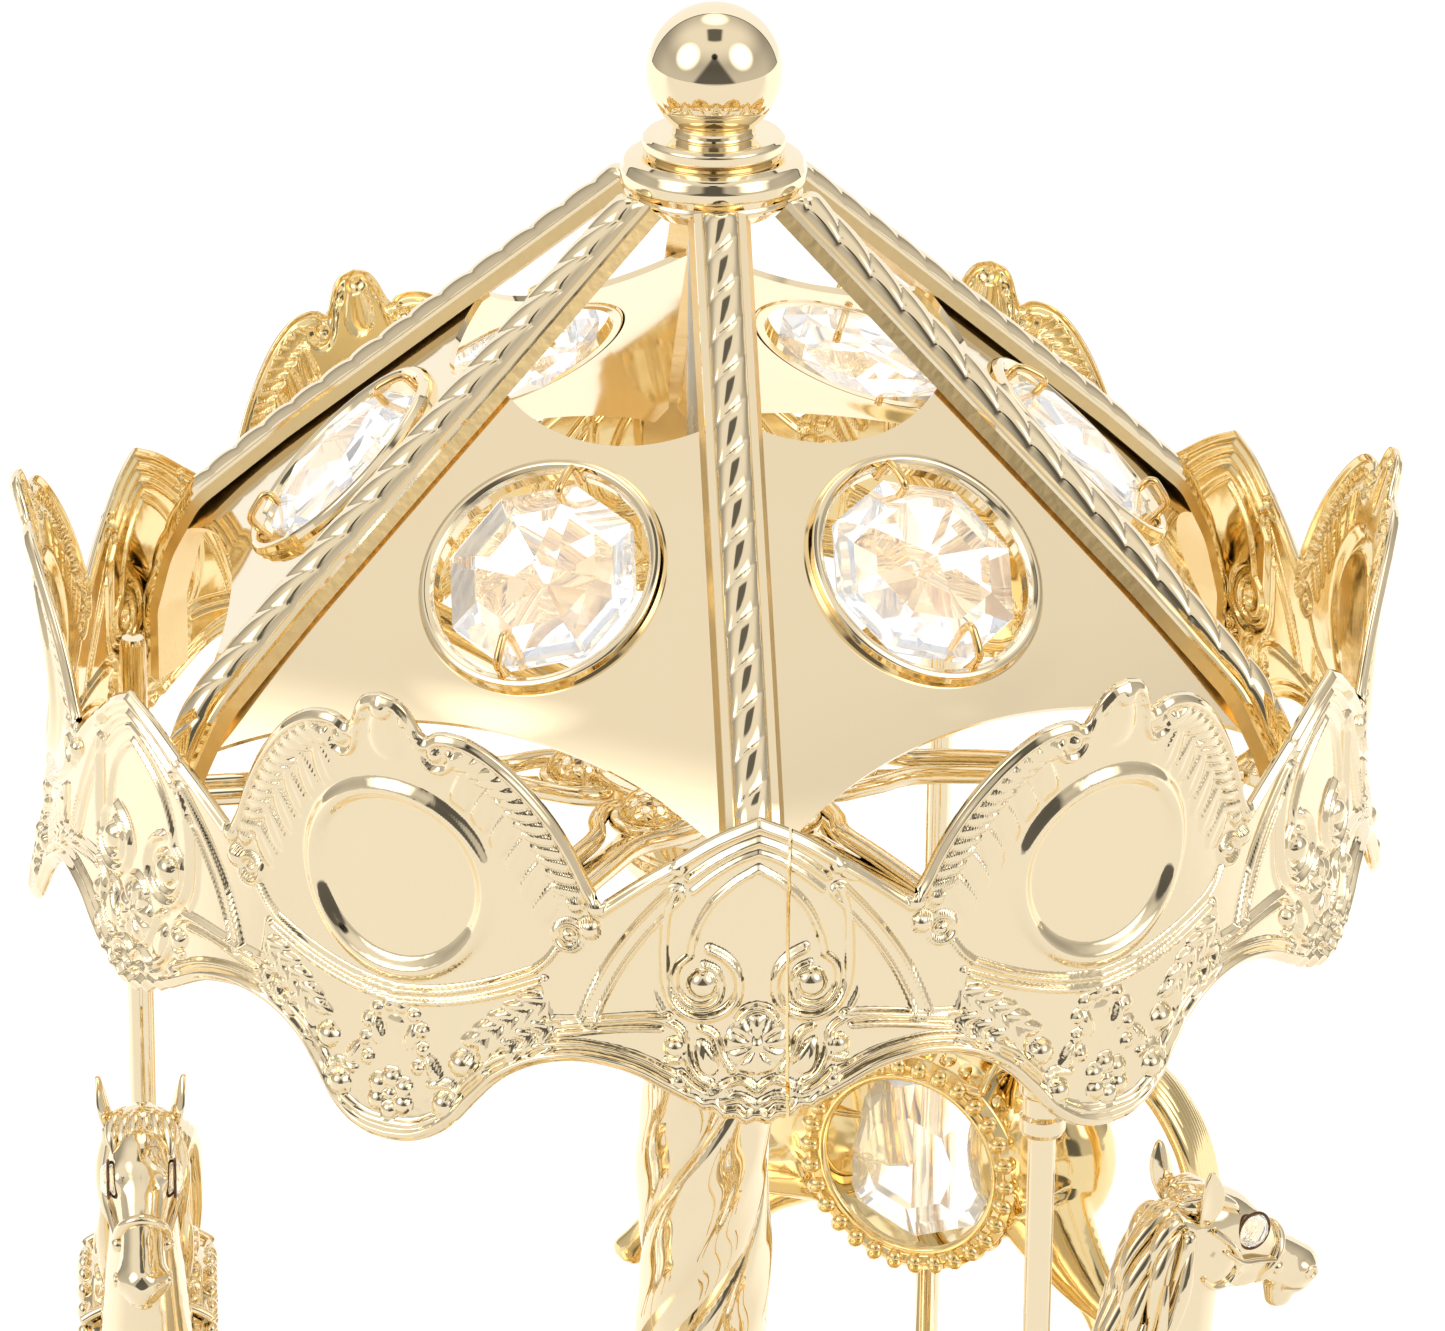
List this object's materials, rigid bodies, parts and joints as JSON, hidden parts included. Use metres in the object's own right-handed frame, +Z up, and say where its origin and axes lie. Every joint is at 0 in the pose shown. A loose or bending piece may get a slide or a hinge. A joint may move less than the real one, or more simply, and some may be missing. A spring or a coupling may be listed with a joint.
{
  "type": "carousel music box",
  "caption": "Wind-up carousel music box: a gilt canopy with hanging crystals and an ornate valance turns with its horses over a round base.",
  "frame": {"origin": "bottom centre, on the surface that the feet stand on", "axes": "+Z up along the spindle; one canopy corner, the one with the valance seam, towards -Y"},
  "size_m": [0.1132, 0.1129, 0.1894],
  "materials": {
    "gold_plate": "mirror-polished pale gold plating",
    "crystal": "clear cut crystal",
    "steel": "ground steel",
    "brass": "turned brass",
    "zinc": "die-cast, matt",
    "rubber": "matt"
  },
  "bodies": {
    "base": {"base_shell": "gold_plate", "base_band": "gold_plate", "bottom_plate": "gold_plate", "base_feet": "rubber", "plate_screws": "steel", "bedplate": "zinc", "comb": "steel", "movement_screws": "steel", "barrel_bridge": "brass", "governor_bracket": "brass", "bearing_bush": "brass"},
    "carousel": {"spring_barrel": "brass", "mainspring": "steel", "centre_spindle": "steel", "turntable": "gold_plate", "turntable_trim": "gold_plate", "column_foot": "gold_plate", "column": "gold_plate", "column_capital": "gold_plate", "spider": "gold_plate", "pole_1": "gold_plate", "pole_2": "gold_plate", "pole_3": "gold_plate", "pole_ferrules": "gold_plate", "horse_1": "gold_plate", "horse_2": "gold_plate", "horse_3": "gold_plate", "horse_crystals_1": "crystal", "horse_crystals_2": "crystal", "horse_crystals_3": "crystal", "horse_eyes": "crystal", "rib_1": "gold_plate", "rib_2": "gold_plate", "rib_3": "gold_plate", "rib_4": "gold_plate", "rib_5": "gold_plate", "rib_6": "gold_plate", "panel_1": "gold_plate", "panel_2": "gold_plate", "panel_3": "gold_plate", "panel_4": "gold_plate", "panel_5": "gold_plate", "panel_6": "gold_plate", "crystal_1": "crystal", "crystal_2": "crystal", "crystal_3": "crystal", "crystal_4": "crystal", "crystal_5": "crystal", "crystal_6": "crystal", "crystal_hooks": "gold_plate", "valance": "gold_plate", "collar_ring": "gold_plate", "cap_disc": "gold_plate", "finial_ball": "gold_plate"},
    "winding_key": {"winding_key": "gold_plate"},
    "pin_cylinder": {"pin_cylinder": "brass"},
    "idler_wheel": {"idler_wheel": "brass"},
    "governor_fan": {"governor_fan": "steel"}
  },
  "joints": [
    {"name": "carousel_spin", "type": "hinge", "parent": "base", "child": "carousel", "pos_m": [0, 0, 0.036], "axis": [0, 0, 1], "continuous": true},
    {"name": "key_wind", "type": "hinge", "parent": "base", "child": "winding_key", "pos_m": [0, 0, 0.012], "axis": [0, 0, 1], "continuous": true},
    {"name": "cylinder_spin", "type": "hinge", "parent": "base", "child": "pin_cylinder", "pos_m": [0.024, 0, 0.02775], "axis": [1, 0, 0], "continuous": true},
    {"name": "idler_spin", "type": "hinge", "parent": "base", "child": "idler_wheel", "pos_m": [-0.014, 0, 0.02], "axis": [0, 0, 1], "continuous": true},
    {"name": "fan_spin", "type": "hinge", "parent": "base", "child": "governor_fan", "pos_m": [-0.024, 0, 0.02], "axis": [0, 0, 1], "continuous": true}
  ],
  "couplings": [
    {"joint": "cylinder_spin", "follows": "carousel_spin", "ratio": 4},
    {"joint": "idler_spin", "follows": "carousel_spin", "ratio": -6},
    {"joint": "fan_spin", "follows": "carousel_spin", "ratio": 24}
  ]
}
